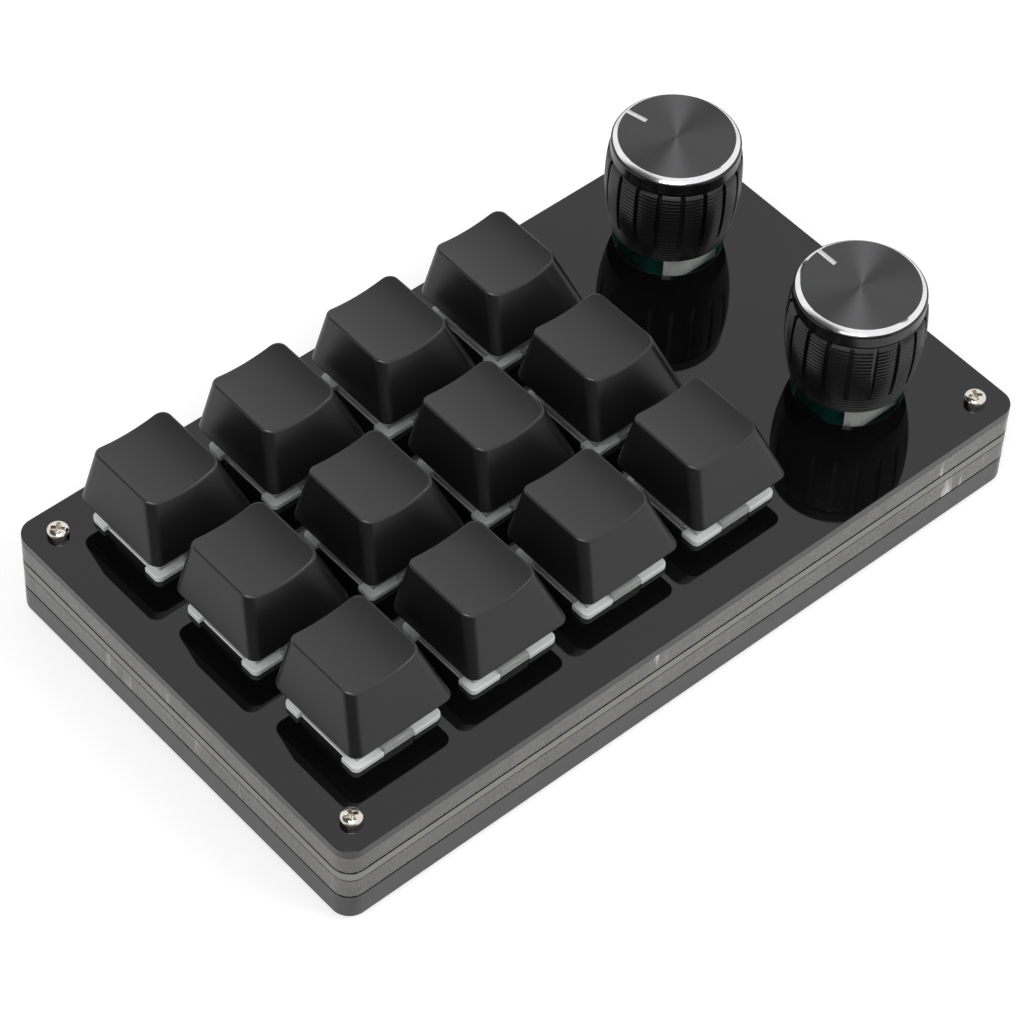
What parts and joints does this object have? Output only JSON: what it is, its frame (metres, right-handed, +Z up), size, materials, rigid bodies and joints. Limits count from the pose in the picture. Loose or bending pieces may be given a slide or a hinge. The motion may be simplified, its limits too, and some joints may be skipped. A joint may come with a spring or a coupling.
{
  "type": "macro keypad",
  "caption": "Layered desktop keypad with sprung sculpted keys and two ridged push-and-turn knobs, a socket at the back edge and rubber feet.",
  "frame": {"origin": "bottom centre of the bounding box, on the surface the feet stand on", "axes": "+X along the length towards the knobs, +Y from the user's side to the socket at the back, +Z up"},
  "size_m": [0.1288, 0.0746, 0.0372],
  "materials": {
    "black_acrylic": "polished black sheet",
    "clear_acrylic": "clear sheet with cut edges",
    "board_green": "green solder mask",
    "insert_brass": "knurled",
    "screw_nickel": "nickel plated",
    "foot_rubber": "matt",
    "socket_steel": "drawn",
    "chip_black": "moulded",
    "switch_white": "satin moulded",
    "switch_clear": "clear moulded",
    "pin_tin": "tinned",
    "stem_plastic": "satin moulded",
    "spring_steel": "drawn wire",
    "keycap_grey": "fine matt grain",
    "encoder_black": "moulded",
    "encoder_zinc": "pressed sheet",
    "shaft_aluminium": "turned",
    "knob_black": "black anodised with a spun top",
    "grub_steel": "blackened"
  },
  "bodies": {
    "case": {"top_plate": "black_acrylic", "upper_frame": "clear_acrylic", "circuit_board": "board_green", "lower_frame": "clear_acrylic", "bottom_plate": "black_acrylic", "case_inserts": "insert_brass", "case_screws": "screw_nickel", "rubber_feet": "foot_rubber", "usb_port": "socket_steel", "board_components": "chip_black", "switch_bases": "switch_white", "switch_tops": "switch_clear", "switch_pins": "pin_tin", "encoder_bases": "encoder_black", "encoder_covers": "encoder_zinc", "encoder_pins": "pin_tin", "key_spring_01": "spring_steel", "key_spring_02": "spring_steel", "key_spring_03": "spring_steel", "key_spring_04": "spring_steel", "key_spring_05": "spring_steel", "key_spring_06": "spring_steel", "key_spring_07": "spring_steel", "key_spring_08": "spring_steel", "key_spring_09": "spring_steel", "key_spring_10": "spring_steel", "key_spring_11": "spring_steel", "key_spring_12": "spring_steel"},
    "key_01": {"keycap_01": "keycap_grey", "key_stem_01": "stem_plastic"},
    "key_02": {"keycap_02": "keycap_grey", "key_stem_02": "stem_plastic"},
    "key_03": {"keycap_03": "keycap_grey", "key_stem_03": "stem_plastic"},
    "key_04": {"keycap_04": "keycap_grey", "key_stem_04": "stem_plastic"},
    "key_05": {"keycap_05": "keycap_grey", "key_stem_05": "stem_plastic"},
    "key_06": {"keycap_06": "keycap_grey", "key_stem_06": "stem_plastic"},
    "key_07": {"keycap_07": "keycap_grey", "key_stem_07": "stem_plastic"},
    "key_08": {"keycap_08": "keycap_grey", "key_stem_08": "stem_plastic"},
    "key_09": {"keycap_09": "keycap_grey", "key_stem_09": "stem_plastic"},
    "key_10": {"keycap_10": "keycap_grey", "key_stem_10": "stem_plastic"},
    "key_11": {"keycap_11": "keycap_grey", "key_stem_11": "stem_plastic"},
    "key_12": {"keycap_12": "keycap_grey", "key_stem_12": "stem_plastic"},
    "dial_1": {"encoder_rotor_1": "encoder_black"},
    "knob_press_1": {"encoder_shaft_1": "shaft_aluminium", "knob_1": "knob_black", "knob_grub_1": "grub_steel"},
    "dial_2": {"encoder_rotor_2": "encoder_black"},
    "knob_press_2": {"encoder_shaft_2": "shaft_aluminium", "knob_2": "knob_black", "knob_grub_2": "grub_steel"}
  },
  "joints": [
    {"name": "key_press_01", "type": "slide", "parent": "case", "child": "key_01", "axis": [0, 0, -1], "range_m": [0, 0.0036], "stiffness_N_per_m": 100, "springref_m": -0.003, "deforming": ["key_spring_01"]},
    {"name": "key_press_02", "type": "slide", "parent": "case", "child": "key_02", "axis": [0, 0, -1], "range_m": [0, 0.0036], "stiffness_N_per_m": 100, "springref_m": -0.003, "deforming": ["key_spring_02"]},
    {"name": "key_press_03", "type": "slide", "parent": "case", "child": "key_03", "axis": [0, 0, -1], "range_m": [0, 0.0036], "stiffness_N_per_m": 100, "springref_m": -0.003, "deforming": ["key_spring_03"]},
    {"name": "key_press_04", "type": "slide", "parent": "case", "child": "key_04", "axis": [0, 0, -1], "range_m": [0, 0.0036], "stiffness_N_per_m": 100, "springref_m": -0.003, "deforming": ["key_spring_04"]},
    {"name": "key_press_05", "type": "slide", "parent": "case", "child": "key_05", "axis": [0, 0, -1], "range_m": [0, 0.0036], "stiffness_N_per_m": 100, "springref_m": -0.003, "deforming": ["key_spring_05"]},
    {"name": "key_press_06", "type": "slide", "parent": "case", "child": "key_06", "axis": [0, 0, -1], "range_m": [0, 0.0036], "stiffness_N_per_m": 100, "springref_m": -0.003, "deforming": ["key_spring_06"]},
    {"name": "key_press_07", "type": "slide", "parent": "case", "child": "key_07", "axis": [0, 0, -1], "range_m": [0, 0.0036], "stiffness_N_per_m": 100, "springref_m": -0.003, "deforming": ["key_spring_07"]},
    {"name": "key_press_08", "type": "slide", "parent": "case", "child": "key_08", "axis": [0, 0, -1], "range_m": [0, 0.0036], "stiffness_N_per_m": 100, "springref_m": -0.003, "deforming": ["key_spring_08"]},
    {"name": "key_press_09", "type": "slide", "parent": "case", "child": "key_09", "axis": [0, 0, -1], "range_m": [0, 0.0036], "stiffness_N_per_m": 100, "springref_m": -0.003, "deforming": ["key_spring_09"]},
    {"name": "key_press_10", "type": "slide", "parent": "case", "child": "key_10", "axis": [0, 0, -1], "range_m": [0, 0.0036], "stiffness_N_per_m": 100, "springref_m": -0.003, "deforming": ["key_spring_10"]},
    {"name": "key_press_11", "type": "slide", "parent": "case", "child": "key_11", "axis": [0, 0, -1], "range_m": [0, 0.0036], "stiffness_N_per_m": 100, "springref_m": -0.003, "deforming": ["key_spring_11"]},
    {"name": "key_press_12", "type": "slide", "parent": "case", "child": "key_12", "axis": [0, 0, -1], "range_m": [0, 0.0036], "stiffness_N_per_m": 100, "springref_m": -0.003, "deforming": ["key_spring_12"]},
    {"name": "dial_turn_1", "type": "hinge", "parent": "case", "child": "dial_1", "pos_m": [0.04748, 0.02115, 0.0132], "axis": [0, 0, 1], "continuous": true},
    {"name": "knob_push_1", "type": "slide", "parent": "dial_1", "child": "knob_press_1", "axis": [0, 0, -1], "range_m": [0, 0.0005], "stiffness_N_per_m": 1500, "springref_m": -0.001},
    {"name": "dial_turn_2", "type": "hinge", "parent": "case", "child": "dial_2", "pos_m": [0.04748, -0.01815, 0.0132], "axis": [0, 0, 1], "continuous": true},
    {"name": "knob_push_2", "type": "slide", "parent": "dial_2", "child": "knob_press_2", "axis": [0, 0, -1], "range_m": [0, 0.0005], "stiffness_N_per_m": 1500, "springref_m": -0.001}
  ]
}
